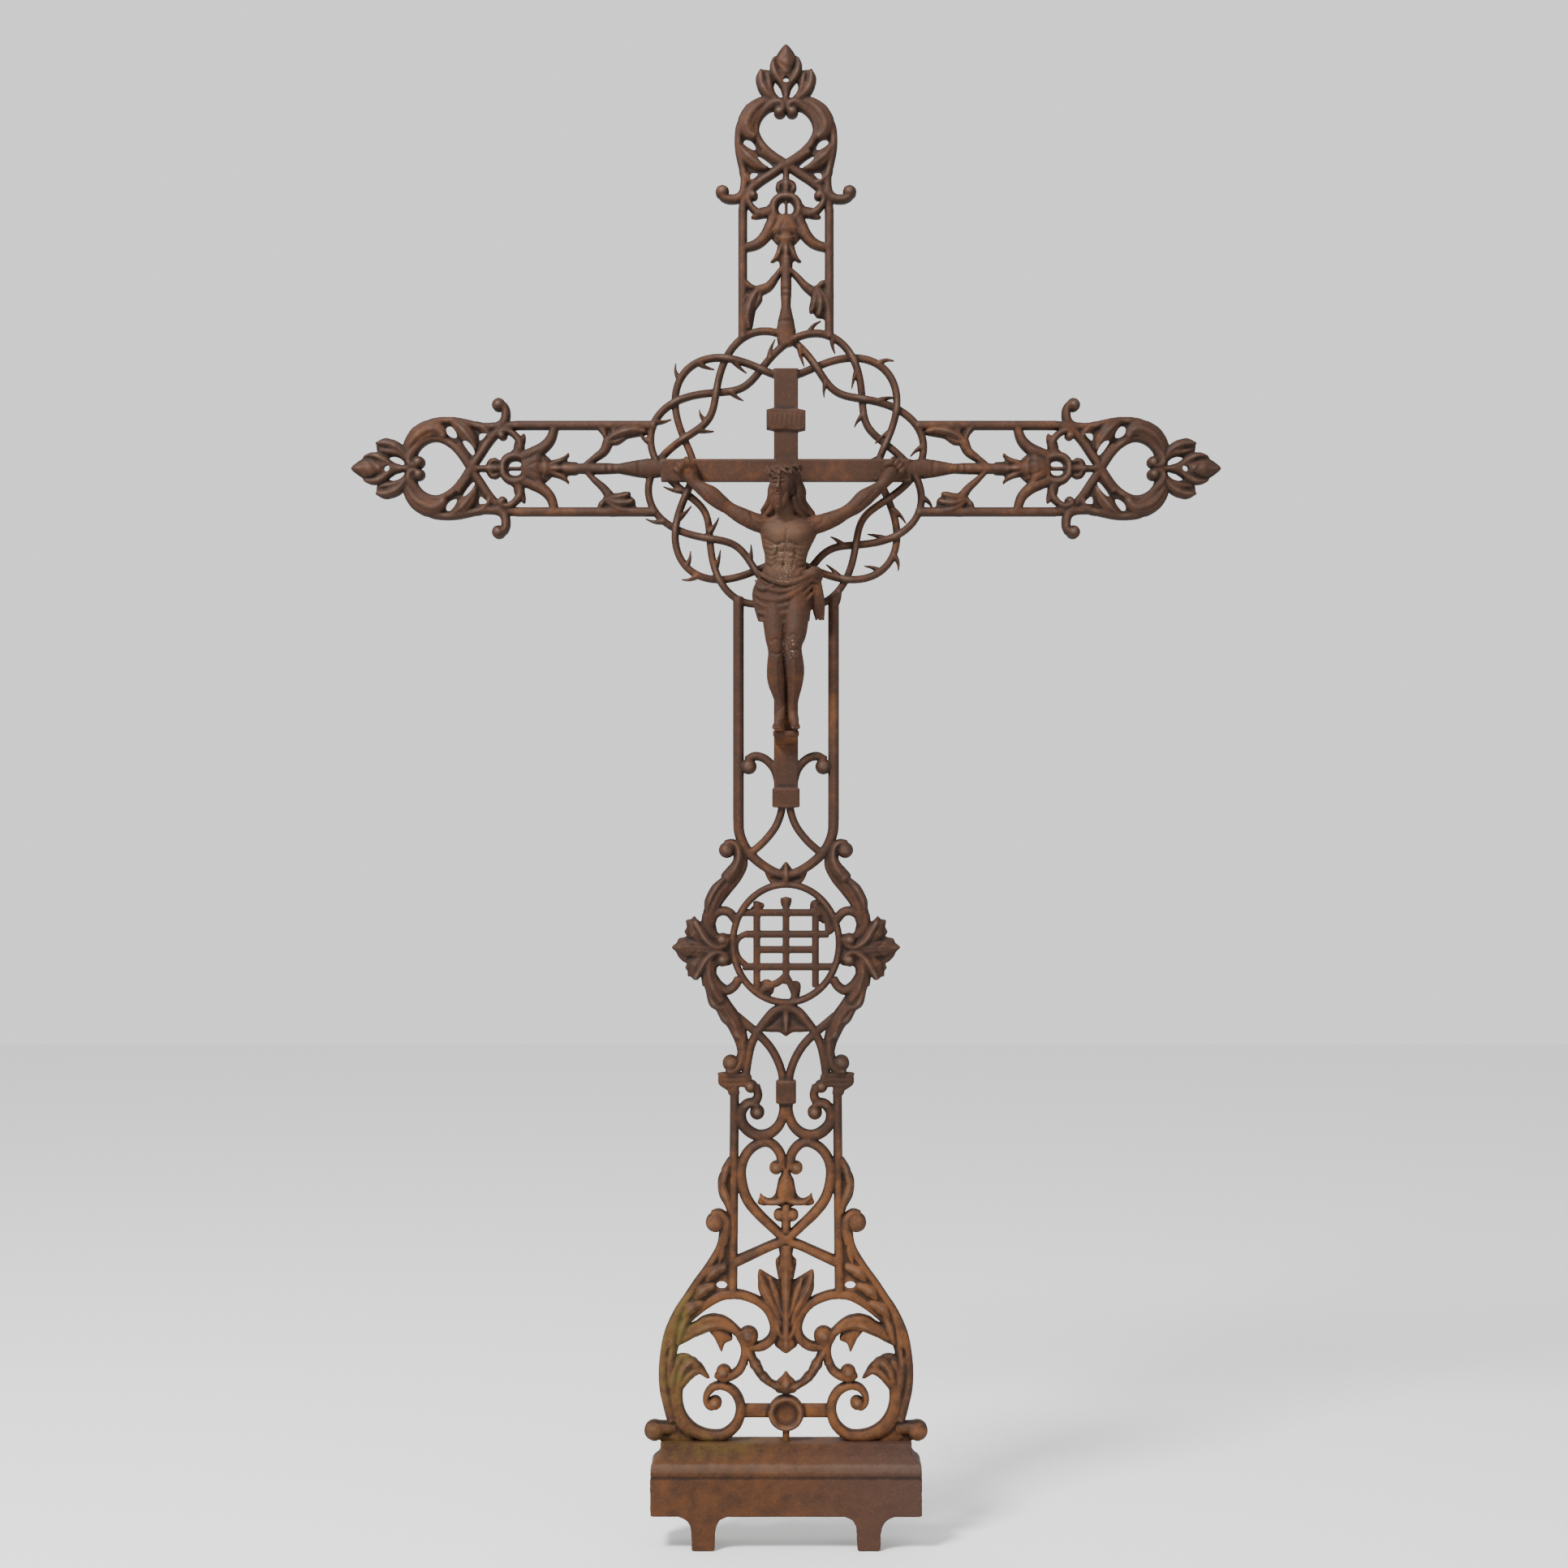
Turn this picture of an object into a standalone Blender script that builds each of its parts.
"""A cast iron openwork crucifix that is let into a stone by two tangs.

World frame: +Z up, the front faces -Y, and the origin is on the underside of the base's front wall.
The cross is one openwork casting with a flat back and a raised front. The figure is a second casting.
Ornament is drawn on a grid of its own and scaled to the length that it fills.
"""

import math

import bmesh
import bpy
import numpy as np
from mathutils import Vector
from mathutils.geometry import delaunay_2d_cdt

# Driving sizes in metres
CROWN_HEIGHT = 1.248
CROWN_RADIUS = 0.139
CROWN_WAVE = 0.0286
HEAD_REACH = 0.508
ARM_REACH = 0.521
BASE_HEIGHT = 0.084
BASE_DEPTH = 0.060
BASE_WALL = 0.012
BASE_OVERHANG = 0.012
TANG_LENGTH = 0.040
TANG_WIDTH = 0.029
TANG_OFFSET = 0.0995
TANG_FLARE = 0.014
TANG_TAPER = 0.001
LEDGE_LIP = 0.005
LEDGE_DROP = 0.016
LEDGE_TAPER = 0.004
LEDGE_OVERHANG = 0.001
CORPUS_HEIGHT = 0.320
CORPUS_GAP = 0.0003

# Bars of the openwork, their widths in metres
RAIL_WIDTH = 0.0108
SHAFT_RAIL_WIDTH = 0.013
SCROLL_WIDTH = 0.0105
LIGHT_WIDTH = 0.0085
STRAND_WIDTH = 0.0088
INNER_CROSS_WIDTH = 0.029
THORN_LENGTH = 0.0135
THORN_FOOT = 0.0055
RING_WIDTH = 0.0078
BAR_HALF = 0.0133
BAR_DROP = 0.0025

# Heights of the front above the flat back, in metres
BACK_PLANE = 0.031
EDGE = 0.009
CREST = 0.014
STRAND_CREST = 0.0125
LEAF_CREST = 0.016
INNER_CROSS_HEIGHT = 0.015
COLLAR_HEIGHT = 0.018
BALL_HEIGHT = 0.0185
TITLE_RAISE = 0.003
LEDGE_HEIGHT = 0.034
LOW_CREST = 0.011
STRAND_EDGE = 0.008
STRAND_WEAVE = 0.0015

# Grids that the ornament is drawn on: units from seat to crown, and from tip to crown
COLUMN_GRID = 1248.0
BASE_GRID = 84.0
HEAD_GRID = 508.0

# Steps of the curves, in metres, and tolerances of the outline
STEP = 0.005
BEND = 0.0009
STRAND_STEPS = 44
STRAIGHT = 0.0009
SMALLEST_HOLE = 7e-6
MERGE = 2e-5
STEEP = 0.0011
PLUG = 0.0015
CORPUS_VOXEL = 1.5
CORPUS_TRIANGLES = 1500
OPENWORK_TRIANGLES = 9000

COLUMN_UNIT = (CROWN_HEIGHT - BASE_HEIGHT) / (COLUMN_GRID - BASE_GRID)
HEAD_UNIT = HEAD_REACH / HEAD_GRID
CROWN_OUTER = CROWN_RADIUS + CROWN_WAVE
CORPUS_BACK = BACK_PLANE - INNER_CROSS_HEIGHT - CORPUS_GAP


def smooth(points, step=STEP):
    """A curve through the points (a Catmull-Rom spline), with no more points than its bends need."""
    points = np.array(points, float)
    ends = [2 * points[0] - points[1], *points, 2 * points[-1] - points[-2]]
    curve = [points[0]]
    for before, start, stop, after in zip(ends, ends[1:], ends[2:], ends[3:]):
        count = max(1, round(np.linalg.norm(stop - start) / step))
        for t in np.arange(1, count + 1) / count:
            curve.append(
                0.5
                * (
                    2 * start
                    + (stop - before) * t
                    + (2 * before - 5 * start + 4 * stop - after) * t**2
                    + (3 * start - before - 3 * stop + after) * t**3
                )
            )
    return thin_out(np.array(curve))


def thin_out(line, tolerance=BEND):
    """Keeps the ends, and halves each run at the point furthest from its chord until all are near it."""
    if len(line) < 3:
        return line
    chord = np.array([line[0], line[-1]])
    gaps = nearest(line, chord)[0]
    far = gaps.argmax()
    if gaps[far] < tolerance:
        return chord
    return np.vstack([thin_out(line[: far + 1], tolerance)[:-1], thin_out(line[far:], tolerance)])


def ring_points(centre, radius, count, start=0.0, flat=1.0):
    """The corners of a regular polygon, flattened in height by the given share."""
    angles = start + np.arange(count) * 2 * math.pi / count
    return np.column_stack(
        [
            centre[0] + radius * np.cos(angles),
            centre[1] + radius * flat * np.sin(angles),
        ]
    )


def nearest(points, line):
    """For each point: its distance to the line, and how far along the line that is, in segments."""
    start = line[:-1]
    run = line[1:] - start
    square = np.maximum((run**2).sum(axis=1), 1e-18)
    offset = points[:, None, :] - start
    t = np.clip((offset * run).sum(axis=2) / square, 0, 1)
    gap = np.linalg.norm(offset - t[..., None] * run, axis=2)
    best = gap.argmin(axis=1)
    rows = np.arange(len(points))
    return gap[rows, best], best + t[rows, best]


def inside(points, outline):
    """Whether each point lies in the outline, by counting its crossings to the right."""
    x, z = points[:, 0, None], points[:, 1, None]
    first = outline
    second = np.roll(outline, -1, axis=0)
    spans = (first[:, 1] > z) != (second[:, 1] > z)
    rise = second[:, 1] - first[:, 1]
    rise = np.where(rise == 0, 1e-30, rise)
    crossing = first[:, 0] + (z - first[:, 1]) * (second[:, 0] - first[:, 0]) / rise
    return (spans & (x < crossing)).sum(axis=1) % 2 == 1


def covered(points, outlines):
    """Whether each point lies in any of the outlines."""
    found = np.zeros(len(points), bool)
    for outline in map(np.array, outlines):
        low, high = outline.min(axis=0), outline.max(axis=0)
        near = np.flatnonzero(~found & ((points >= low) & (points <= high)).all(axis=1))
        found[near] = inside(points[near], outline)
    return found


class Relief:
    """Shapes laid over each other in one casting. Its outline is theirs together, less the holes.

    Each shape has an outline, a height for every point in it, and lines that stay as creases.
    """

    REACH = 2e-4

    def __init__(self):
        self.outlines = []
        self.heights = []
        self.holes = []
        self.creases = []

    def stroke(self, points, width, crest=CREST, edge=EDGE):
        """A bar along the points. The width and the crest are one value, or one for each point."""
        line = np.array(points, float)
        count = len(line)
        width = np.interp(
            np.linspace(0, 1, count),
            np.linspace(0, 1, np.size(width)),
            np.atleast_1d(width),
        )
        crest = np.interp(
            np.linspace(0, 1, count),
            np.linspace(0, 1, np.size(crest)),
            np.atleast_1d(crest),
        )
        along = np.gradient(line, axis=0)
        along /= np.linalg.norm(along, axis=1)[:, None]
        across = np.column_stack([-along[:, 1], along[:, 0]]) * width[:, None] / 2
        left, right = line + across, line - across
        quads = []
        for i in range(count - 1):
            quads.append([right[i], right[i + 1], line[i + 1], line[i]])
            quads.append([line[i], line[i + 1], left[i + 1], left[i]])

        def height(at):
            gap, place = nearest(at, line)
            half = np.interp(place, np.arange(count), width) / 2
            top = np.interp(place, np.arange(count), crest)
            share = np.clip(gap / half, 0, 1)
            found = edge + (top - edge) * (1 - share)
            return np.where(gap <= half + self.REACH, found, -1)

        self.outlines += quads
        self.heights.append(height)
        self.creases.append(line)

    def plate(self, outline, height, creases=(), crest=None, steep=False):
        """A flat shape. Its creases rise to the crest, and a steep one drops straight to what it lies on."""
        outline = np.array(outline, float)
        creases = [np.array(line, float) for line in creases]
        closed = np.vstack([outline, outline[:1]])
        if steep:
            outward = closed - outline.mean(axis=0)
            outward /= np.linalg.norm(outward, axis=1)[:, None]
            self.creases.append(closed + outward * STEEP)

        def height_at(at):
            gap = nearest(at, closed)[0]
            found = np.full(len(at), float(height))
            for line in creases:
                near = nearest(at, line)[0]
                found = np.where(near < self.REACH, crest, found)
            return np.where(inside(at, outline) | (gap <= self.REACH), found, -1)

        self.outlines.append(outline)
        self.heights.append(height_at)
        self.creases += creases

    def boss(self, centre, radius, crest=BALL_HEIGHT, sides=10):
        """A round knob with a radius on the grid, highest on a small polygon about its middle."""
        radius = radius * COLUMN_UNIT
        inner = ring_points(centre, radius * 0.45, 5)
        line = np.vstack([inner, inner[:1]])
        self.plate(ring_points(centre, radius, sides), EDGE, [line], crest)

    def hole(self, outline):
        self.holes.append(np.array(outline, float))

    def height_at(self, points):
        return np.max([height(points) for height in self.heights], axis=0)

    def region(self):
        """The loops of the shapes' common outline, each a list of points."""
        extra = []
        while True:
            faces = self.outlines + extra
            loops, pinches = outline_of(faces, self.holes)
            if not pinches:
                return [loop for loop in map(straighten, loops) if loop is not None]
            extra += [ring_points(p, PLUG, 6, start=0.3) for p in pinches]

    def crease_lines(self, loops):
        """The creases, each with whether its points lie within the outline."""
        lines = []
        for line in self.creases:
            lines.append((line, inside(line, loops[0]) & ~covered(line, loops[1:])))
        return lines

    def mesh(self, name):
        """The closed body: raised front, flat back and the walls between."""
        loops = sorted(map(np.array, self.region()), key=lambda loop: -abs(area_of(loop)))
        points, edges = [], []
        for loop in loops:
            first, count = len(points), len(loop)
            edges += [(first + i, first + (i + 1) % count) for i in range(count)]
            points += list(loop)
        for line, kept in self.crease_lines(loops):
            for i in range(len(line) - 1):
                if kept[i] or kept[i + 1]:
                    edges.append((len(points), len(points) + 1))
                    points += [line[i], line[i + 1]]
        flat, triangles, _ = triangulate(points, edges, loops)
        rims = rim_of(triangles)
        heights = np.maximum(self.height_at(flat), EDGE * 0.6)
        count = len(flat)
        front = np.column_stack([flat[:, 0], BACK_PLANE - heights, flat[:, 1]])
        used = sorted({start for rim in rims for start in rim})
        place = {start: count + i for i, start in enumerate(used)}
        back = [(flat[i][0], BACK_PLANE, flat[i][1]) for i in used]
        body = [tuple(t) for t in triangles]
        body += back_faces(flat, rims, place)
        for rim in rims:
            for start, stop in zip(rim, rim[1:] + rim[:1]):
                body.append((stop, start, place[start], place[stop]))
        mesh = bpy.data.meshes.new(name)
        mesh.from_pydata([tuple(p) for p in front] + back, [], body)
        return mesh


def area_of(loop):
    x, z = np.array(loop).T
    return 0.5 * float(np.dot(x, np.roll(z, -1)) - np.dot(z, np.roll(x, -1)))


def counter_clockwise(loop):
    return loop if area_of(loop) > 0 else loop[::-1]


def outline_of(shapes, holes):
    """The loops round all the shapes less the holes, and the points where the outline only touches itself."""
    points, faces = [], []
    for shape in list(shapes) + list(holes):
        shape = counter_clockwise(np.array(shape))
        faces.append(list(range(len(points), len(points) + len(shape))))
        points += [Vector(p) for p in shape]
    found = delaunay_2d_cdt(points, [], faces, 0, MERGE)
    flat = np.array([tuple(p) for p in found[0]])
    triangles = np.array(found[2])
    middles = flat[triangles].mean(axis=1)
    kept = triangles[covered(middles, shapes) & ~covered(middles, holes)].tolist()
    follow = {}
    for a, b in boundary(kept):
        follow.setdefault(a, []).append(b)
    pinches = [flat[a] for a, ends in follow.items() if len(ends) > 1]
    if pinches:
        return [], pinches
    return [[flat[i] for i in rim] for rim in chains(follow)], []


def boundary(triangles):
    """The directed edges that only one triangle has."""
    edges = {
        (t[i], t[(i + 1) % len(t)]) for t in triangles for i in range(len(t))
    }
    return [(a, b) for a, b in edges if (b, a) not in edges]


def chains(follow):
    """Closed chains of the edges, each starting at its lowest number."""
    follow = {a: list(ends) for a, ends in follow.items()}
    rims = []
    for start in sorted(follow):
        while follow[start]:
            rim = [start]
            here = follow[start].pop()
            while here != start:
                rim.append(here)
                here = follow[here].pop()
            rims.append(rim)
    return rims


def rim_of(triangles):
    follow = {}
    for a, b in boundary(triangles):
        follow.setdefault(a, []).append(b)
    return chains(follow)


def straighten(loop):
    """Leaves out points that lie on a straight run, and loops too small to cast."""
    if abs(area_of(loop)) < SMALLEST_HOLE:
        return None
    loop = [np.array(p) for p in loop]
    changed = True
    while changed and len(loop) > 4:
        changed = False
        i = 0
        while i < len(loop) and len(loop) > 4:
            before, here, after = loop[i - 1], loop[i], loop[(i + 1) % len(loop)]
            run = after - before
            length = np.linalg.norm(run)
            offset = here - before
            gap = abs(run[0] * offset[1] - run[1] * offset[0]) / max(length, 1e-9)
            near = min(np.linalg.norm(offset), np.linalg.norm(after - here))
            if gap < STRAIGHT or (near < BEND and gap < 2 * STRAIGHT):
                del loop[i]
                changed = True
            i += 1
    return loop


def triangulate(points, edges, loops):
    """Triangles between the first loop, which is the outer one, and the others, which are holes."""
    found = delaunay_2d_cdt([Vector(p) for p in points], edges, [], 0, MERGE)
    flat = np.array([tuple(p) for p in found[0]])
    triangles = np.array(found[2])
    middles = flat[triangles].mean(axis=1)
    kept = triangles[inside(middles, loops[0]) & ~covered(middles, loops[1:])]
    used, renumbered = np.unique(kept, return_inverse=True)
    return flat[used], renumbered.reshape(-1, 3).tolist(), [found[3][i] for i in used]


def back_faces(flat, rims, place):
    """The back: the same outline with as few triangles as it takes, facing the other way."""
    rims = sorted(rims, key=lambda rim: -abs(area_of(flat[rim])))
    points, numbers, edges = [], [], []
    for rim in rims:
        first, count = len(points), len(rim)
        edges += [(first + i, first + (i + 1) % count) for i in range(count)]
        points += list(flat[rim])
        numbers += rim
    _, triangles, sources = triangulate(points, edges, [flat[rim] for rim in rims])
    origin = [place[numbers[source[0]]] for source in sources]
    return [(origin[c], origin[b], origin[a]) for a, b, c in triangles]


# Places on the casting


def on_column(points):
    """Grid points of the column, in units from the seat, as places on the casting."""
    return [
        (x * COLUMN_UNIT, BASE_HEIGHT + (z - BASE_GRID) * COLUMN_UNIT)
        for x, z in points
    ]


def arm_places(turn, reach):
    """Two functions that place an arm's grid points, (distance, offset), from its tip and from the crown."""

    def outward(distance, offset):
        if turn == "head":
            return (offset, CROWN_HEIGHT + distance)
        return (distance if turn == "right" else -distance, CROWN_HEIGHT - offset)

    def from_tip(points):
        return [outward(reach - w * HEAD_UNIT, v * HEAD_UNIT) for w, v in points]

    def from_crown(points):
        return [outward(r * HEAD_UNIT, v * HEAD_UNIT) for r, v in points]

    return from_tip, from_crown


def both(points):
    """The points, and the same points across the arm's own axis."""
    return points, [(w, -v) for w, v in points]


def widths(*units):
    """Widths along a bar, given on the grid, in metres."""
    return [unit * COLUMN_UNIT for unit in units]


# Ornament of the arms

ARM_RAIL = 51.8


def arm(relief, turn, reach):
    """One arm: bud, heart of acanthus, flower, and the rails that run to the crown."""
    from_tip, from_crown = arm_places(turn, reach)
    tip_bud(relief, from_tip)
    arm_heart(relief, from_tip)
    arm_flower(relief, from_tip)
    arm_root(relief, from_tip, from_crown, reach)


def tip_bud(relief, at):
    half = [(0, 0), (9, 9.5), (16.8, 16.1), (26, 18.8), (33, 19.4), (41.5, 14.8), (50.2, 5.5)]
    outline = half + [(w, -v) for w, v in half[:0:-1]]
    ridge = [(4, 0), (20, 0), (34, 0)]
    relief.plate(at(outline), EDGE, [at(ridge)], LEAF_CREST)
    relief.stroke(at([(47, 0), (58, 0), (72, 0)]), widths(11, 7.5, 12))
    relief.hole(ring_points(at([(43, 0)])[0], 4.2 * HEAD_UNIT, 6))
    for leaf, ridge in zip(
        both([(31.6, 30), (36, 35), (44, 36.4), (55, 31), (63.8, 23.5), (68, 14),
              (66, 6), (60, 15), (50, 15.5), (43, 17.5), (36.6, 19.5)]),
        both([(37, 28), (46, 27), (56, 23), (64, 15)]),
    ):
        relief.plate(at(leaf), EDGE, [at(ridge)], LEAF_CREST)


def arm_heart(relief, at):
    """The heart-shaped opening, with a broad band of acanthus outside it and a curl at each shoulder."""
    band = [(66, 0), (63, 10), (63, 21), (71, 38), (83.6, 52), (96, 58.5), (108, 61),
            (125, 61), (140, 58), (155, 54.4), (168, 54.4), (178, 56), (178, 47),
            (165, 41), (155, 30), (147, 14), (141.7, 0), (135.6, 8.6), (125.7, 21),
            (113.3, 31), (100.9, 32.9), (88.6, 29.7), (82.4, 23.5), (79, 13), (76, 0)]
    ridge = [(70, 8), (75, 26), (88, 42), (104, 48), (112, 44)]
    lobe = [(122, 56), (136, 48), (146, 40), (150, 29)]
    holes = [
        [(113.5, 49), (119, 51), (126, 43), (126.5, 36.5), (120, 37.5), (114.5, 42.5)],
        [(133, 33), (138, 33.5), (145.5, 26), (148.4, 19), (146, 15.6), (139, 23)],
        [(153.5, 42), (163.5, 41.5), (154.5, 33)],
    ]
    for side in (1, -1):
        def turned(points):
            return at([(w, v * side) for w, v in points])

        relief.plate(turned(band), EDGE, [turned(ridge), turned(lobe)], LEAF_CREST)
        cross = [(128, 27), (136, 16), (142, 6), (147, -5), (155, -17), (165, -32), (175, -43),
                 (187, -50), (200, -ARM_RAIL)]
        relief.stroke(smooth(turned(cross)), [SCROLL_WIDTH, SCROLL_WIDTH, RAIL_WIDTH])
        relief.boss(turned([(81.2, 7.3)])[0], 7.2, crest=CREST, sides=8)
        stem = [(178, 49), (184.5, 57), (186, 67), (182, 76)]
        relief.stroke(smooth(turned(stem)), widths(14, 11.5, 10))
        relief.boss(turned([(177.8, 77)])[0], 9.2)
        for hole in holes:
            relief.hole(turned(hole))


def arm_flower(relief, at):
    """A small fleuron, then a bell-shaped flower with wings and a ring pierced on each side of its bar."""
    relief.stroke(at([(146, 0), (156, 0), (167, 0)]), widths(9, 7.5, 9))
    fleuron = [(162, 5), (166.5, 11.6), (173, 11.6), (176, 7), (184, 8)]
    relief.plate(at(fleuron + [(w, -v) for w, v in fleuron[::-1]]), CREST)
    half = [(179, 9), (184, 15), (192, 18.5), (204, 19.4), (214, 19), (226, 20), (236, 14), (241, 7)]
    bell = half + [(w, -v) for w, v in half[::-1]]
    shell = [(208, -16), (212, 0), (208, 16)]
    relief.plate(at(bell), LOW_CREST, [at(shell)], LEAF_CREST)
    for side in (1, -1):
        def turned(points):
            return at([(w, v * side) for w, v in points])

        relief.hole(turned([(189.5, 2), (190, 6), (194, 8.6), (200, 8.6), (203.5, 6), (203.5, 2)]))
        petal = [(208, 16), (222, 19), (233, 26), (240, 35), (244, 50)]
        relief.stroke(smooth(turned(petal)), widths(13, 15, 12, 10))
        wing = [(192, 16), (202, 24), (202, 33), (194, 42), (184, 45), (178, 41)]
        relief.stroke(smooth(turned(wing)), widths(10, 12, 9, 8, 7))
        relief.boss(turned([(181, 38.5)])[0], 5.4, crest=CREST, sides=7)
        relief.plate(turned([(196, 24), (207, 26), (209, 35), (207.5, 42), (202, 38), (197, 34)]), EDGE)


def arm_root(relief, from_tip, from_crown, reach):
    """The calyx, a spindle that runs to the crown, a leaf on one rail and a bloom on the other."""
    tip_grid = reach / HEAD_UNIT
    calyx = [(236, 7), (245, 11), (252, 12), (261, 19), (259, 9), (272, 6.5)]
    relief.plate(from_tip(calyx + [(w, -v) for w, v in calyx[::-1]]), EDGE,
                 [from_tip([(238, 0), (252, 0)])], LEAF_CREST)
    stem = [(tip_grid - 255, 0), (240, 0), (229, 0), (210, 0), (206, 0), (176, 0), (164, 0), (150, 0)]
    relief.stroke(from_crown(stem), widths(12, 12, 13.5, 13, 11.5, 19, 24, 20), crest=LEAF_CREST)
    for side in (1, -1):
        rail_end = math.sqrt(max(CROWN_OUTER**2 - (ARM_RAIL * HEAD_UNIT) ** 2, 0)) / HEAD_UNIT
        start = from_tip([(198, ARM_RAIL * side)])[0]
        stop = from_crown([(rail_end - 2, ARM_RAIL * side)])[0]
        relief.stroke([start, stop], RAIL_WIDTH)
    branch = [(241, -4), (228, -13), (218, -21), (213, -32)]
    relief.stroke(smooth(from_crown(branch)), widths(6, 10, 13))
    leaf = [(230, -52), (224, -45), (217, -38), (214, -27), (205, -29), (190, -35.9), (168, -40.5),
            (166, -46),
            (180, -54), (205, -57), (221, -56)]
    relief.plate(from_crown(leaf), EDGE, [from_crown([(214, -36), (204, -43), (186, -46)])], LEAF_CREST)
    branch = [(239, 4), (229, 14), (219, 23), (212, 32)]
    relief.stroke(smooth(from_crown(branch)), widths(6, 8.5, 12))
    bloom = [(225, 50), (221, 38), (214, 30), (203, 29.5), (190, 27.5), (186, 33), (181, 37), (180, 44),
             (176, 51), (190, 56), (214, 57)]
    relief.plate(from_crown(bloom), EDGE, [from_crown([(212, 40), (202, 41), (192, 45)])], LEAF_CREST)


# The crown of thorns and the plain inner cross

STRAND_PHASES = (12, -17, 45)
THORNS = (
    ((106, 1), (82.9, -1), (64.8, -1), (35.6, 1), (17.2, 1), (8.5, -1), (-67.5, 1), (148.7, 1),
     (155.5, -1), (202.6, 1), (248, -1)),
    ((97.8, 1), (79.7, 1), (69.8, -1), (53.5, -1), (34.3, -1), (-12.6, 1), (-35.9, -1), (-54, -1),
     (125, -1), (159.7, -1), (168.4, 1), (191.3, 1), (219, -1), (234, -1)),
    ((48, 1), (18.8, -1), (5.8, -1), (-21.6, 1), (-39.4, 1), (-48.3, -1), (-64.4, -1), (115.3, -1),
     (128.9, -1), (139.3, 1), (204.4, -1), (223.7, -1), (229.7, 1)),
)


def strand_radius(angle, phase):
    """A strand swings in and out four times a turn."""
    return CROWN_RADIUS + CROWN_WAVE * math.cos(4 * (angle - math.radians(phase)))


def strand_point(angle, phase, offset=0.0):
    radius = strand_radius(angle, phase) + offset
    return (radius * math.cos(angle), CROWN_HEIGHT + radius * math.sin(angle))


def crown(relief):
    """Three woven strands, each rising over its neighbours in turn, set with hooked thorns."""
    for phase, thorns in zip(STRAND_PHASES, THORNS):
        angles = np.linspace(0, 2 * math.pi, STRAND_STEPS + 1)
        line = [strand_point(angle, phase) for angle in angles]
        crest = STRAND_CREST + STRAND_WEAVE * np.sin(12 * angles + math.radians(phase))
        relief.stroke(line, STRAND_WIDTH, crest=crest, edge=STRAND_EDGE)
        for degrees, side in thorns:
            angle = math.radians(degrees)
            foot = THORN_FOOT / CROWN_RADIUS
            root = side * STRAND_WIDTH / 4
            point = side * (STRAND_WIDTH / 2 + THORN_LENGTH * 0.75)
            relief.plate(
                [strand_point(angle - foot, phase, root), strand_point(angle + foot, phase, root),
                 strand_point(angle - 1.1 * foot, phase, point)], EDGE)


def inner_cross(relief):
    """Plain flat bars inside the crown, with a title scroll above and a ledge for the feet below."""
    half = INNER_CROSS_WIDTH / 2
    top = CROWN_HEIGHT + CROWN_RADIUS - CROWN_WAVE + STRAND_WIDTH
    foot = on_column([(0, 863)])[0][1]
    relief.plate([(-half, foot), (half, foot), (half, top), (-half, top)], INNER_CROSS_HEIGHT)
    end = CROWN_RADIUS + 0.37 * CROWN_WAVE
    low, high = CROWN_HEIGHT - BAR_DROP - BAR_HALF, CROWN_HEIGHT - BAR_DROP + BAR_HALF
    relief.plate([(-end, low), (end, low), (end, high), (-end, high)], INNER_CROSS_HEIGHT)
    _, from_crown = arm_places("head", HEAD_REACH)
    title = [(47, -23.5), (45, -14.5), (46, 0), (44, 14.5), (46, 23.5), (68.5, 23.5), (70.5, 14.5), (69, 0),
             (71.5, -14.5), (69.5, -23.5)]
    relief.plate(from_crown(title), INNER_CROSS_HEIGHT + TITLE_RAISE, steep=True)


# Ornament of the column


def shaft(relief):
    """Two rails from the crown to a pointed loop, with a collar between them."""
    rail = 57.0
    top = math.sqrt(max(CROWN_OUTER**2 - (rail * COLUMN_UNIT) ** 2, 0))
    low = on_column([(0, 828)])[0][1]
    high = CROWN_HEIGHT - top + STRAND_WIDTH / 4
    collar(relief, 16.5, 842, 865.5)
    for side in (1, -1):
        def at(points):
            return on_column([(x * side, z) for x, z in points])

        x = rail * COLUMN_UNIT * side
        relief.stroke([(x, high), (x, low)], SHAFT_RAIL_WIDTH)
        loop = [(rail, 829), (56, 812), (50, 796), (40, 783), (27.5, 772.5), (13.5, 764.5), (0, 760.5)]
        relief.stroke(smooth(at(loop)), [SHAFT_RAIL_WIDTH, SCROLL_WIDTH])
        splay = [(4, 846), (7, 832), (13, 818), (24, 803.6), (34, 794), (44, 786)]
        relief.stroke(smooth(at(splay)), SCROLL_WIDTH * 0.9)
        bracket = [(7, 862), (9, 872), (14, 888), (25, 900), (37, 903.5), (46, 899)]
        relief.stroke(smooth(at(bracket)), SCROLL_WIDTH)
        relief.boss(at([(44.6, 891)])[0], 9.5)
    relief.plate(on_column([(-9, 764), (-6, 770), (0, 777), (6, 770), (9, 764)]), EDGE)
    relief.plate(on_column([(-26, 768), (-27, 745), (0, 751), (27, 745), (26, 768), (0, 759)]), EDGE)


def collar(relief, half, low, high):
    """A square band round the bars."""
    cut = 1.5
    relief.plate(on_column([
        (-half + cut, low), (half - cut, low), (half, low + cut), (half, high - cut),
        (half - cut, high), (-half + cut, high), (-half, high - cut), (-half, low + cut),
    ]), COLLAR_HEIGHT, steep=True)


MEDALLION = (0.0, 679.0)


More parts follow.
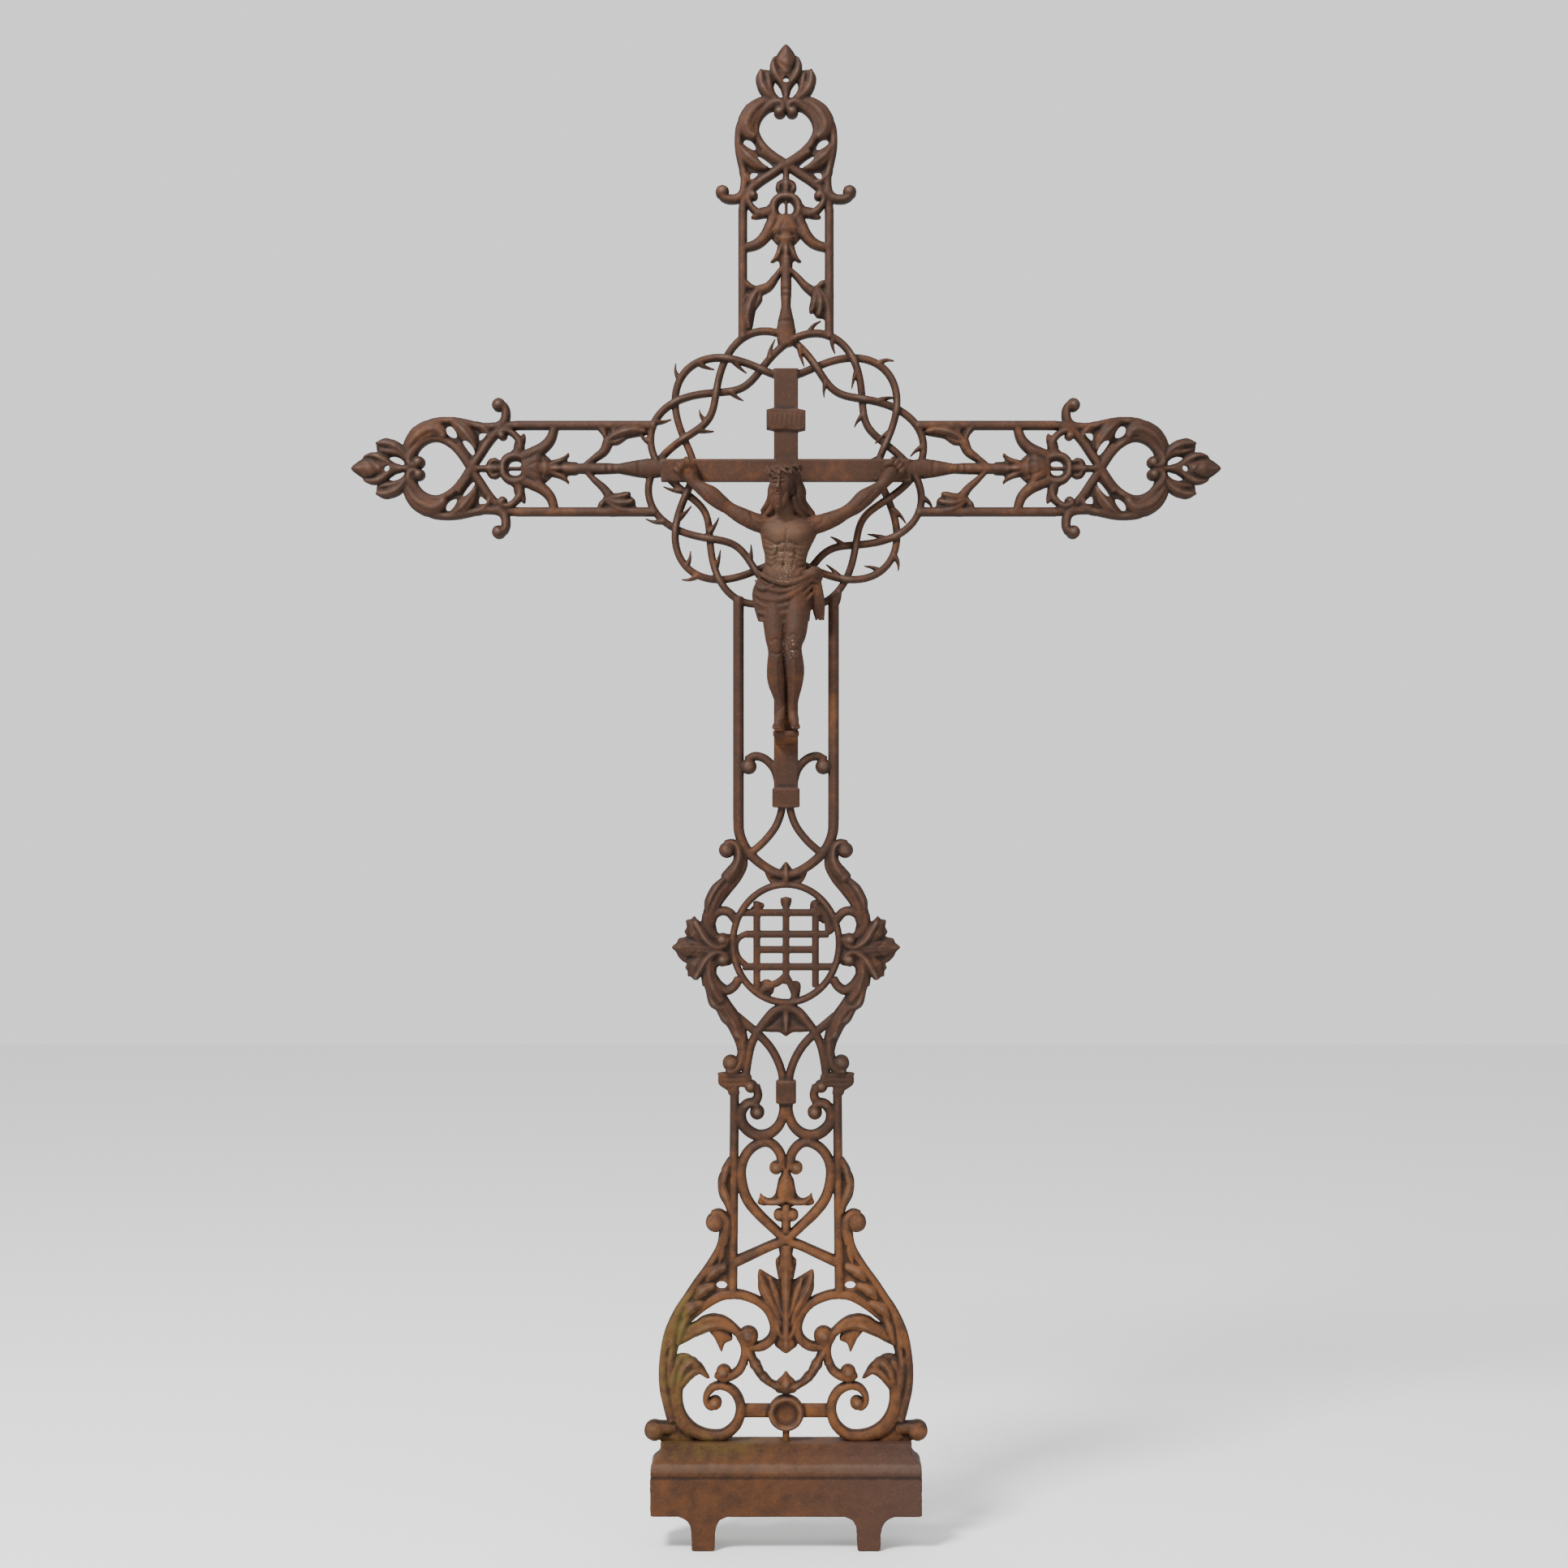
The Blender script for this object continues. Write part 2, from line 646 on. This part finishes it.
def medallion(relief):
    """An oval ring that holds a lattice, in a frame of acanthus bars with a vine leaf on each side."""
    angles = np.linspace(0, 2 * math.pi, 33)
    ring = [(MEDALLION[0] + 63.7 * math.cos(a), MEDALLION[1] + 70.8 * math.sin(a)) for a in angles]
    relief.stroke(on_column(ring), RING_WIDTH)
    lattice(relief)
    for side in (1, -1):
        def at(points):
            return on_column([(x * side, z) for x, z in points])

        upper = [(56, 792), (55, 775), (62.4, 760), (75.5, 743.6), (86.7, 726.4), (92.7, 708), (91, 690)]
        relief.stroke(smooth(at(upper)), widths(14, 19, 20, 20, 18, 16, 18), crest=LEAF_CREST)
        lower = [(91, 658), (91.7, 640.4), (85.7, 622.8), (74.8, 603.5), (62, 584.7), (54, 565), (51.5, 548),
                 (51, 530)]
        relief.stroke(smooth(at(lower)), widths(18, 17, 20, 21, 19, 14, 10), crest=LEAF_CREST)
        relief.boss(at([(70.8, 791)])[0], 9.7)
        relief.stroke(smooth(at([(62, 776), (64, 786), (69, 797)])), widths(9))
        for level, turn in ((683, 1), (660, -1)):
            relief.boss(at([(75.9, level)])[0], 8, sides=8)
            wing = [(76, level + 5 * turn), (86, level + 6 * turn), (95, level + 15 * turn),
                    (97, level + 28 * turn)]
            relief.stroke(smooth(at(wing)), widths(9, 12, 11))
        bridge = [(88, 705), (84, 714), (76, 718), (67, 715), (61, 707)]
        relief.stroke(smooth(at(bridge)), widths(10))
        bridge = [(88, 640), (80, 628), (71, 623), (62, 628), (57, 636)]
        relief.stroke(smooth(at(bridge)), widths(11))
        web = [(67, 688), (88, 688), (100, 700), (100, 645), (88, 655), (67, 655)]
        relief.plate(at(web), EDGE)
        relief.hole(ring_points(at([(76, 700.5)])[0], 7.5 * COLUMN_UNIT, 7, flat=1.05))
        relief.hole(ring_points(at([(73, 643.5)])[0], 7.8 * COLUMN_UNIT, 7, flat=1.1))
        vine_leaf(relief, at)


def vine_leaf(relief, at):
    leaf = [(92, 652), (104, 640), (110, 636), (117, 641), (118, 650), (121, 659), (129, 663), (136.5, 674.5),
            (129, 684), (126, 687), (120, 687), (121, 697), (119, 707), (110, 712), (104, 706), (96, 700)]
    veins = [
        at([(92, 672), (108, 673), (128, 674.5)]),
        at([(98, 678), (106, 688), (112, 704)]),
        at([(98, 668), (106, 658), (110, 644)]),
    ]
    relief.plate(at(leaf), EDGE, veins, LEAF_CREST)


def lattice(relief):
    """A plain lattice of thin bars across the ring."""
    width = LIGHT_WIDTH
    bars = [
        ((-35, 728), (-35, 625)), ((0, 733), (0, 632)), ((35.3, 729), (35.3, 628)),
        ((-52, 715.9), (41, 715.9)), ((-48, 690.1), (50, 690.1)),
        ((-36, 671.6), (37, 671.6)), ((-50, 651), (56, 651)),
    ]
    for start, stop in bars:
        relief.stroke(on_column([start, stop]), width, crest=LOW_CREST)
    left = [(-46, 691), (-56, 686), (-60.5, 676), (-57, 662), (-46, 651)]
    relief.stroke(smooth(on_column(left)), width * 0.85, crest=LOW_CREST)
    right = [(35, 724), (46, 716), (50, 706), (52, 694), (60, 706)]
    relief.stroke(smooth(on_column(right)), width, crest=LOW_CREST)
    relief.plate(on_column([(-7, 730), (-6.5, 733.5), (6.5, 733.5), (7, 730), (4, 722), (-4, 722)]), EDGE)
    relief.plate(on_column([(-50, 712), (-36, 727), (-27, 727), (-27, 721), (-40, 716)]), EDGE)
    relief.plate(on_column([(30, 716), (30, 729), (42, 731), (50, 722), (54, 712), (46, 703), (40, 706)]),
                 EDGE)
    feet = [[(0, 640), (-10, 632), (-20, 628), (-30, 622)], [(0, 640), (6, 629), (10, 618), (8, 608)]]
    for foot in feet:
        relief.stroke(smooth(on_column(foot)), width, crest=LOW_CREST)
    relief.plate(on_column([(-29, 616), (-32, 630), (-24, 636), (-17, 633), (-14, 624), (-18, 617)]), EDGE)
    relief.plate(on_column([(6, 622), (6, 632), (13, 634), (18, 628), (14, 608), (8, 606)]), EDGE)


def lower_shaft(relief):
    """A pointed arch under the medallion, a collar, S-scrolls and a heart, between two rails."""
    collar(relief, 12.2, 488, 515.5)
    for side in (1, -1):
        def at(points):
            return on_column([(x * side, z) for x, z in points])

        arch = [(0, 603), (14, 598), (25, 586), (34, 573), (41.5, 558), (46, 538), (48.5, 517), (48.5, 509)]
        relief.stroke(smooth(at(arch)), SCROLL_WIDTH)
        stay = [(52, 586), (45, 580), (33, 570), (20, 556), (11, 541), (5.5, 526), (3.5, 514)]
        relief.stroke(smooth(at(stay)), SCROLL_WIDTH * 0.95)
        stay = [(3.5, 490), (3, 477), (8, 462), (18.5, 452), (32, 449), (44, 454), (52.5, 464), (53.5, 477),
                (47, 486.5), (37.5, 489.5), (33.5, 497), (36, 508)]
        relief.stroke(smooth(at(stay)), [SCROLL_WIDTH, *widths(12.5, 13.5, 12, 10)])
        relief.boss(at([(42, 508)])[0], 7.8, sides=8)
        relief.boss(at([(34.5, 477)])[0], 8.8)
        relief.stroke(smooth(at([(49, 485), (41, 488), (31, 484)])), widths(10))
        relief.boss(at([(66.3, 536)])[0], 9.7)
        relief.stroke(smooth(at([(53, 548), (55, 533), (60, 527), (66, 527)])), widths(10))
        relief.plate(at([(44, 509), (44, 523), (79, 524.5), (81, 521), (81, 512), (76, 507), (70, 503),
                         (68, 498), (56, 498), (56, 507)]), CREST)
        relief.stroke(at([(61.6, 505), (62.5, 400), (63.7, 256)]), RAIL_WIDTH)
        heart_half(relief, at)
        leaf = [(66, 424), (69, 422), (74, 412), (80.5, 401), (82, 391), (80, 377), (73, 364), (69, 352),
                (66, 352)]
        relief.plate(at(leaf), EDGE, [at([(70, 409), (75, 396), (72, 376)])], LEAF_CREST)
    relief.plate(on_column([(-32, 577), (-20, 573), (-8, 572.5), (0, 568), (8, 572.5), (20, 573), (32, 577),
                            (14, 598), (0, 603), (-14, 598)]), EDGE)
    hanging_bell(relief)


def heart_half(relief, at):
    heart = [(5, 410), (6.5, 426), (15.5, 438), (27, 441), (41, 434), (50.5, 421), (54, 404), (51, 384),
             (44.5, 369),
             (33, 355), (17, 339.7), (0, 325), (-21.3, 315.6), (-40, 307), (-62, 297)]
    relief.stroke(smooth(at(heart)), widths(12, 11.5, 12.5, 12.5, 11.5, 11.5, 13))
    relief.boss(at([(12, 410.5)])[0], 8, crest=CREST, sides=8)


def hanging_bell(relief):
    half = [(4, 412), (5, 402), (9, 397), (11.5, 385), (14, 377), (20, 373), (26, 374), (30.5, 380),
            (32, 374),
            (34, 368), (27, 365), (18, 366), (10, 365), (5.5, 361.5), (12, 356), (12, 350), (6, 347),
            (5, 331)]
    outline = half + [(-x, z) for x, z in half[::-1]]
    relief.plate(on_column(outline), EDGE, [on_column([(0, 398), (0, 376)])], LEAF_CREST)


def foot(relief):
    """The scrolled foot: a broad frame, C-scrolls, volutes, a husk garland and a dished disc."""
    for side in (1, -1):
        def at(points):
            return on_column([(x * side, z) for x, z in points])

        foot_frame(relief, at)
        scroll = [(112, 234), (95, 248), (77.6, 257), (61, 259), (46, 256), (31, 249), (20, 238), (14, 222),
                  (16, 208), (26, 198.2), (38, 196), (48, 198)]
        relief.stroke(smooth(at(scroll)), widths(12, 11.5, 11, 11.5, 12))
        relief.boss(at([(44, 209)])[0], 11.8, sides=12)
        leaf_arc = [(124, 208), (108, 217.5), (92, 226), (79, 228), (66, 221), (54, 208), (49, 192),
                    (51, 176)]
        relief.stroke(smooth(at(leaf_arc)), widths(20, 17, 16, 13, 10, 10, 11), crest=LEAF_CREST)
        relief.plate(at([(95, 220), (86, 207), (82, 199), (77, 190), (73, 200), (64, 205), (68, 214),
                         (78, 221)]),
                     EDGE, [at([(84, 211), (80, 202)])], CREST)
        relief.stroke(smooth(at([(51, 178), (57, 167), (68, 161), (79, 160)])), widths(11))
        relief.boss(at([(74, 165)])[0], 9.2)
        garland = [(46, 198), (42, 187), (35, 170), (24, 156), (10, 148), (0, 146)]
        relief.stroke(smooth(at(garland)), widths(11, 13, 13, 10, 12), crest=LEAF_CREST)
        volute(relief, at)
        relief.stroke(at([(15, 119.3), (57, 119.3)]), widths(15.5), crest=LOW_CREST)
    acanthus(relief)
    relief.plate(on_column([(-11, 142), (-11, 154), (-5, 160), (0, 166), (5, 160), (11, 154), (11, 142)]),
                 CREST)
    disc(relief, on_column([(0, 117)])[0], 21.3 * COLUMN_UNIT)
    relief.stroke(on_column([(0, 98), (0, 82)]), LIGHT_WIDTH)


def foot_frame(relief, at):
    """The outer bar of the foot, from its curl beside the rails down to the base."""
    outer = [(80, 346), (80, 334), (84, 312), (98, 290), (112.5, 270.6), (123, 255), (134, 240),
             (146.5, 211.5),
             (151.8, 178.5), (151.8, 149.4), (146.5, 124.6), (140, 104), (138, 83)]
    inner = [(110, 83), (121, 100), (131, 118), (134, 142), (132, 162), (130, 190), (122, 212), (110, 232),
             (92, 246), (76, 256), (64, 258), (64, 300), (66, 346)]
    ridge = [(72, 336), (74, 318), (84, 292), (100, 270), (114, 250), (130, 224), (141, 196), (144, 160),
             (140, 128)]
    relief.plate(at(outer + inner), EDGE, [at(ridge)], LEAF_CREST)
    relief.hole(ring_points(at([(77, 270)])[0], 6.8 * COLUMN_UNIT, 6, flat=0.75))
    relief.boss(at([(84.4, 345.3)])[0], 11.8)
    relief.boss(at([(157.5, 96)])[0], 12.2)
    relief.plate(at([(130, 83), (150, 83), (153, 88), (160, 106), (149, 107), (140, 106), (132, 100)]), EDGE)


def volute(relief, at):
    """The large lower scroll, with a leaf over its shoulder."""
    scroll = [(95, 122), (96, 136), (88, 147), (76, 149.5), (63, 143), (55.5, 130), (55, 115), (61, 101),
              (76, 90), (97, 90), (115, 98), (127, 112), (132.5, 130), (131, 150), (124, 166), (110, 174)]
    relief.stroke(smooth(at(scroll)), widths(8, 10, 11.5, 12.5, 15, 17.5, 18, 17, 18))
    relief.boss(at([(85, 129)])[0], 8.2, sides=8)
    relief.plate(at([(130, 186), (119, 187), (110, 180), (98, 172), (92, 159), (99, 163), (110, 163),
                     (118, 155),
                     (126, 142), (138, 150), (136, 175)]), EDGE, [at([(100, 166), (112, 172),
                                                                      (124, 162)])], CREST)


def acanthus(relief):
    half = [(8, 318), (8, 305), (12.6, 299), (11, 286), (9, 276), (22, 283), (32, 288), (34, 278),
            (31, 268), (31, 258),
            (20, 246), (13, 228), (12, 210), (14, 199), (8, 193), (0, 188)]
    outline = half + [(-x, z) for x, z in half[-2::-1]]
    veins = [[(0, 312), (0, 290), (0, 262)], [(0, 262), (0, 230), (0, 205)]]
    veins += [[(s * 26, 280), (s * 15, 262), (s * 5, 240)] for s in (1, -1)]
    relief.plate(on_column(outline), EDGE, [on_column(vein) for vein in veins], LEAF_CREST)


def disc(relief, centre, radius):
    """A dished disc with a raised rim."""
    rim = ring_points(centre, radius * 0.84, 14)
    relief.plate(ring_points(centre, radius, 14), CREST, [np.vstack([rim, rim[:1]])], COLLAR_HEIGHT)
    bowl = ring_points(centre, radius * 0.5, 8)
    relief.creases.append(np.vstack([bowl, bowl[:1]]))


def openwork():
    relief = Relief()
    arm(relief, "head", HEAD_REACH)
    arm(relief, "left", ARM_REACH)
    arm(relief, "right", ARM_REACH)
    crown(relief)
    inner_cross(relief)
    shaft(relief)
    medallion(relief)
    lower_shaft(relief)
    foot(relief)
    return relief


# The base and its tangs

BASE_HALF = 150.4 * COLUMN_UNIT + BASE_OVERHANG
BASE_PROFILE = ((0, 0), (0.52, 0), (0.545, 0.1), (0.57, 0.02), (0.69, 0), (0.745, 0.12), (0.775, 0.4),
                (0.81, 0.72), (0.855, 0.96), (1, 1))


def stacked_box(name, levels):
    """A closed body through rectangles, each given as (z, half width, front, back)."""
    bm = bmesh.new()
    rings = []
    for z, half, front, back in levels:
        corners = [(-half, front), (half, front), (half, back), (-half, back)]
        rings.append([bm.verts.new((x, y, z)) for x, y in corners])
    for low, high in zip(rings, rings[1:]):
        for i in range(4):
            j = (i + 1) % 4
            bm.faces.new([low[i], low[j], high[j], high[i]])
    bm.faces.new(rings[0][::-1])
    bm.faces.new(rings[-1])
    return finished(name, bm)


def prism(name, outline, front, back):
    """An outline of (x, z) points carried straight from front to back."""
    bm = bmesh.new()
    face = bm.faces.new([bm.verts.new((x, front, z)) for x, z in outline])
    moved = bmesh.ops.extrude_face_region(bm, geom=[face])["geom"]
    verts = [item for item in moved if isinstance(item, bmesh.types.BMVert)]
    bmesh.ops.translate(bm, verts=verts, vec=(0, back - front, 0))
    return finished(name, bm)


def finished(name, bm):
    bmesh.ops.recalc_face_normals(bm, faces=bm.faces)
    mesh = bpy.data.meshes.new(name)
    bm.to_mesh(mesh)
    bm.free()
    return bpy.data.objects.new(name, mesh)


def base_solids():
    """The moulded box, its hollow, which is open below, and the two tangs flush with its front."""
    front = -BASE_WALL / 2
    back = front + BASE_DEPTH
    levels = []
    for share, inset in BASE_PROFILE:
        step = inset * BASE_OVERHANG
        levels.append((share * BASE_HEIGHT, BASE_HALF - step, front + step, back - step))
    box = stacked_box("base_box", levels)
    room = BASE_HALF - BASE_WALL
    ceiling = 0.72 * BASE_HEIGHT
    hollow = stacked_box("base_hollow", [
        (-BASE_WALL, room, front + BASE_WALL, back - BASE_WALL),
        (ceiling, room, front + BASE_WALL, back - BASE_WALL),
    ])
    tangs = []
    for name, side in (("tang_left", -1), ("tang_right", 1)):
        half = TANG_WIDTH / 2
        flare = [(1.2, 0.15), (1.1, 0), (0.45, -0.3), (0.12, -0.75), (0, -1.3)]
        edge = [(half + TANG_FLARE * out, TANG_FLARE * up) for out, up in flare]
        edge.append((half - TANG_TAPER, -TANG_LENGTH))
        outline = edge + [(-x, z) for x, z in edge[::-1]]
        outline = [(x + side * TANG_OFFSET, z) for x, z in outline]
        tangs.append(prism(name, outline, front, front + BASE_WALL))
    return box, hollow, tangs


# The figure

CORPUS_GRID = 320.0
CORPUS_UNIT = CORPUS_HEIGHT / CORPUS_GRID
LEDGE_TOP = CROWN_HEIGHT - 314.5 * CORPUS_UNIT - CORPUS_GAP


def ledge():
    """The shelf under the feet, in front of the inner cross."""
    half = INNER_CROSS_WIDTH / 2 + LEDGE_OVERHANG
    front = BACK_PLANE - LEDGE_HEIGHT
    back = BACK_PLANE - INNER_CROSS_HEIGHT / 2
    wedge = BACK_PLANE - INNER_CROSS_HEIGHT - LEDGE_OVERHANG
    return stacked_box("foot_ledge", [
        (LEDGE_TOP - LEDGE_DROP, half - LEDGE_TAPER, wedge, back),
        (LEDGE_TOP - LEDGE_LIP, half, front, back),
        (LEDGE_TOP, half, front, back),
    ])


def corpus_point(x, depth, z):
    """A grid point of the figure: across, forward of its flat back, and above the crown's centre."""
    return (x * CORPUS_UNIT, CORPUS_BACK - depth * CORPUS_UNIT, CROWN_HEIGHT + z * CORPUS_UNIT)


def loft(bm, rings):
    """A closed body through rings of points, drawn in to a point past each end."""
    made = [[bm.verts.new(corpus_point(*p)) for p in ring] for ring in rings]
    count = len(made[0])
    for low, high in zip(made, made[1:]):
        for i in range(count):
            j = (i + 1) % count
            bm.faces.new([low[i], low[j], high[j], high[i]])
    bm.faces.new(made[0][::-1])
    bm.faces.new(made[-1])


def limb(bm, stations, sides=12):
    """A round limb along stations of (x, depth, z, radius), with rounded ends."""
    line = np.array([s[:3] for s in stations], float)
    radii = np.array([s[3] for s in stations], float)
    along = np.gradient(line, axis=0)
    along /= np.linalg.norm(along, axis=1)[:, None]
    centres, sizes, runs = [], [], []
    for share in (0.97, 0.7):
        centres.append(line[0] - along[0] * radii[0] * share)
        sizes.append(radii[0] * math.sqrt(1 - share**2))
        runs.append(along[0])
    centres += list(line)
    sizes += list(radii)
    runs += list(along)
    for share in (0.7, 0.97):
        centres.append(line[-1] + along[-1] * radii[-1] * share)
        sizes.append(radii[-1] * math.sqrt(1 - share**2))
        runs.append(along[-1])
    rings = []
    for centre, size, run in zip(centres, sizes, runs):
        side = np.cross(run, (0, 1, 0))
        side /= np.linalg.norm(side)
        up = np.cross(side, run)
        ring = []
        for k in range(sides):
            angle = 2 * math.pi * k / sides
            ring.append(centre + size * (math.cos(angle) * side + math.sin(angle) * up))
        rings.append(ring)
    loft(bm, rings)


def stack(bm, levels, sides=16):
    """A body through level rings of (z, x, half width, depth, half depth)."""
    rings = []
    for z, x, wide, depth, deep in levels:
        ring = []
        for k in range(sides):
            angle = 2 * math.pi * k / sides
            ring.append((x + wide * math.cos(angle), depth + deep * math.sin(angle), z))
        rings.append(ring)
    loft(bm, rings)


def corpus_body(bm):
    stack(bm, [(-56, -1, 8, 24, 9), (-61, 0, 17, 20, 12), (-66, 1, 32, 17, 13), (-73, 2, 35, 17, 17),
               (-82, 3, 33.5, 16, 20), (-94, 1, 29.5, 15, 19.5), (-106, 0, 25.5, 14, 17),
               (-118, -1, 25, 13, 16),
               (-128, -2, 28, 13, 17), (-150, -4, 33, 12, 17)])
    for side, points in (
        (-1, [(-24, 15, -70, 11), (-38, 16, -66, 10.5), (-55, 16, -58, 9.5), (-70, 15, -49, 8.3),
              (-79, 14, -44, 8.2),
              (-90, 13, -33, 8.6), (-100, 11, -22, 6.2), (-108, 9, -14, 4.6), (-114, 8, -8, 5),
              (-122, 7, -2, 6)]),
        (1, [(28, 15, -71, 11), (42, 16, -68, 10.5), (58, 16, -62, 9.5), (72, 15, -54, 8.3),
             (81, 14, -49, 8.2),
             (93, 13, -38, 8.6), (104, 11, -27, 6.2), (113, 9, -17, 4.6), (119, 8, -11, 5), (128, 7, -5, 6)]),
    ):
        limb(bm, points)
        hand = points[-1]
        for finger in (-1, 0, 1):
            reach = 8 + finger * 2
            limb(bm, [(hand[0], 8, hand[2], 2.6),
                      (hand[0] + side * 5 + finger * 2, 9, hand[2] + reach * 0.7, 2.2)], 8)


def corpus_legs(bm):
    limb(bm, [(-14, 15, -155, 17), (-13, 21, -178, 15.5), (-12.5, 28, -204, 12.5), (-11, 30, -221, 10.4),
              (-11.5, 25, -240, 11.4), (-11, 19, -256, 11), (-7, 13, -279, 6.8), (-5.5, 12, -291, 6.4)])
    limb(bm, [(12, 16, -155, 17), (12, 24, -178, 15.5), (11, 33, -200, 13.2), (8, 36, -216, 10.8),
              (10.5, 29, -240, 11.2), (10.5, 21, -256, 10), (8, 14, -279, 6.8), (7.5, 12, -291, 6.2)])
    limb(bm, [(-5, 11, -293, 6.4), (-8, 16, -300, 6.4), (-11, 22, -308.5, 5.2)])
    limb(bm, [(8, 11, -293, 6.2), (9, 16, -300, 6.4), (10.5, 22, -308.5, 5.2)])


def corpus_head(bm):
    stack(bm, [(1, -2, 6, 30, 7), (-3, -3, 14, 31, 14), (-12, -4, 17.5, 32, 18), (-24, -5, 16.5, 34, 18),
               (-34, -5.5, 14, 35, 16), (-42, -5.5, 10.5, 36, 12), (-49, -5, 6, 36, 8),
               (-53, -4, 2.5, 35, 4)])
    limb(bm, [(0, 20, -66, 11), (-1, 25, -54, 10.5), (-2, 28, -42, 11)])
    limb(bm, [(-5.5, 50, -22, 2.2), (-6.2, 53, -29, 3)], 8)
    limb(bm, [(14, 27, -12, 7), (17, 24, -26, 7), (18, 20, -40, 7), (23, 17, -50, 6.5), (29, 14, -56, 5)])
    limb(bm, [(-17, 27, -12, 6), (-18, 25, -26, 5.5), (-20, 22, -38, 5.5), (-23, 18, -48, 5.5),
              (-28, 15, -54, 5)])
    turns = np.linspace(0, 2 * math.pi, 17)
    band = [(-3 + 19.5 * math.cos(a), 31 + 18.5 * math.sin(a),
             -8.5 - 4 * math.sin(a) + 1.5 * math.cos(4 * a), 3.9)
            for a in turns]
    limb(bm, band[:-1] + [band[0]], 8)


def corpus_cloth(bm):
    """The loincloth: a wrapped body, slanting folds that run up to a knot, and a hanging end."""
    stack(bm, [(-121, -1, 27, 13, 17.5), (-133, -3, 32, 13.5, 19), (-148, -4.5, 38, 14, 21),
               (-162, -4.5, 37, 15, 21.5),
               (-178, -3.5, 33.5, 17, 20), (-189, -3, 31, 18, 17)], 18)
    for low, high, lift in ((-150, -128, 34), (-163, -134, 37), (-174, -141, 38), (-184, -151, 38),
                            (-191, -163, 35)):
        points = []
        for share in np.linspace(0, 1, 6):
            across = -36 + 68 * share
            bulge = math.sqrt(max(1 - ((across + 4) / 42) ** 2, 0.05))
            points.append((across, 6 + (lift - 6) * bulge, low + (high - low) * share**1.3, 3.2))
        limb(bm, points, 8)
    limb(bm, [(30, 20, -131, 7.5), (36, 19, -131, 7.5)])
    limb(bm, [(34, 18, -135, 6), (38, 17, -150, 7.5), (41, 15, -166, 7), (43.5, 13, -176, 5)])


def corpus():
    """The figure's overlapping bodies, before they are run together into one skin."""
    bm = bmesh.new()
    corpus_body(bm)
    corpus_legs(bm)
    corpus_head(bm)
    corpus_cloth(bm)
    return finished("corpus", bm)


def look(name, colour, roughness, metallic):
    """A plain Principled material."""
    material = bpy.data.materials.new(name)
    material.use_nodes = True
    shader = material.node_tree.nodes["Principled BSDF"]
    shader.inputs["Base Color"].default_value = (*colour, 1)
    shader.inputs["Roughness"].default_value = roughness
    shader.inputs["Metallic"].default_value = metallic
    return material


def boolean(obj, other, operation):
    modifier = obj.modifiers.new(f"{operation.lower()}_{other.name}", "BOOLEAN")
    modifier.operation = operation
    modifier.solver = "EXACT"
    modifier.object = other


def thin_triangles(obj, count):
    """Collapses the flattest edges until about this many triangles are left."""
    bpy.context.view_layer.update()
    share = min(1.0, count / faces_now(obj))
    obj.modifiers.new("thinned", "DECIMATE").ratio = share


def faces_now(obj):
    graph = bpy.context.evaluated_depsgraph_get()
    evaluated = obj.evaluated_get(graph)
    mesh = evaluated.to_mesh()
    mesh.calc_loop_triangles()
    count = len(mesh.loop_triangles)
    evaluated.to_mesh_clear()
    return count


def main():
    for old in list(bpy.data.objects):
        bpy.data.objects.remove(old)
    parts = bpy.data.collections.new("crucifix")
    cutters = bpy.data.collections.new("crucifix_cutters")
    for collection in (parts, cutters):
        bpy.context.scene.collection.children.link(collection)

    cross = bpy.data.objects.new("cross", openwork().mesh("cross"))
    parts.objects.link(cross)
    box, hollow, tangs = base_solids()
    shelf = ledge()
    for helper in (box, hollow, shelf, *tangs):
        cutters.objects.link(helper)
    thin_triangles(cross, OPENWORK_TRIANGLES)
    boolean(box, hollow, "DIFFERENCE")
    for tang in tangs:
        boolean(box, tang, "UNION")
    boolean(cross, box, "UNION")
    boolean(cross, shelf, "UNION")
    cross.data.materials.append(look("rusty_cast_iron", (0.16, 0.08, 0.05), 0.75, 0.25))

    figure = corpus()
    parts.objects.link(figure)
    remesh = figure.modifiers.new("one_skin", "REMESH")
    remesh.mode = "VOXEL"
    remesh.voxel_size = CORPUS_VOXEL * CORPUS_UNIT
    bpy.context.view_layer.update()
    thin_triangles(figure, CORPUS_TRIANGLES)
    slab = stacked_box("corpus_back", [
        (z, 2 * CORPUS_HEIGHT, CORPUS_BACK, CORPUS_BACK + CORPUS_HEIGHT)
        for z in (CROWN_HEIGHT - 2 * CORPUS_HEIGHT, CROWN_HEIGHT + CORPUS_HEIGHT)
    ])
    cutters.objects.link(slab)
    boolean(figure, slab, "DIFFERENCE")
    figure.data.materials.append(look("rusty_cast_iron_figure", (0.2, 0.1, 0.06), 0.7, 0.25))

    for helper in cutters.objects:
        helper.hide_render = True
        helper.display_type = "WIRE"


main()
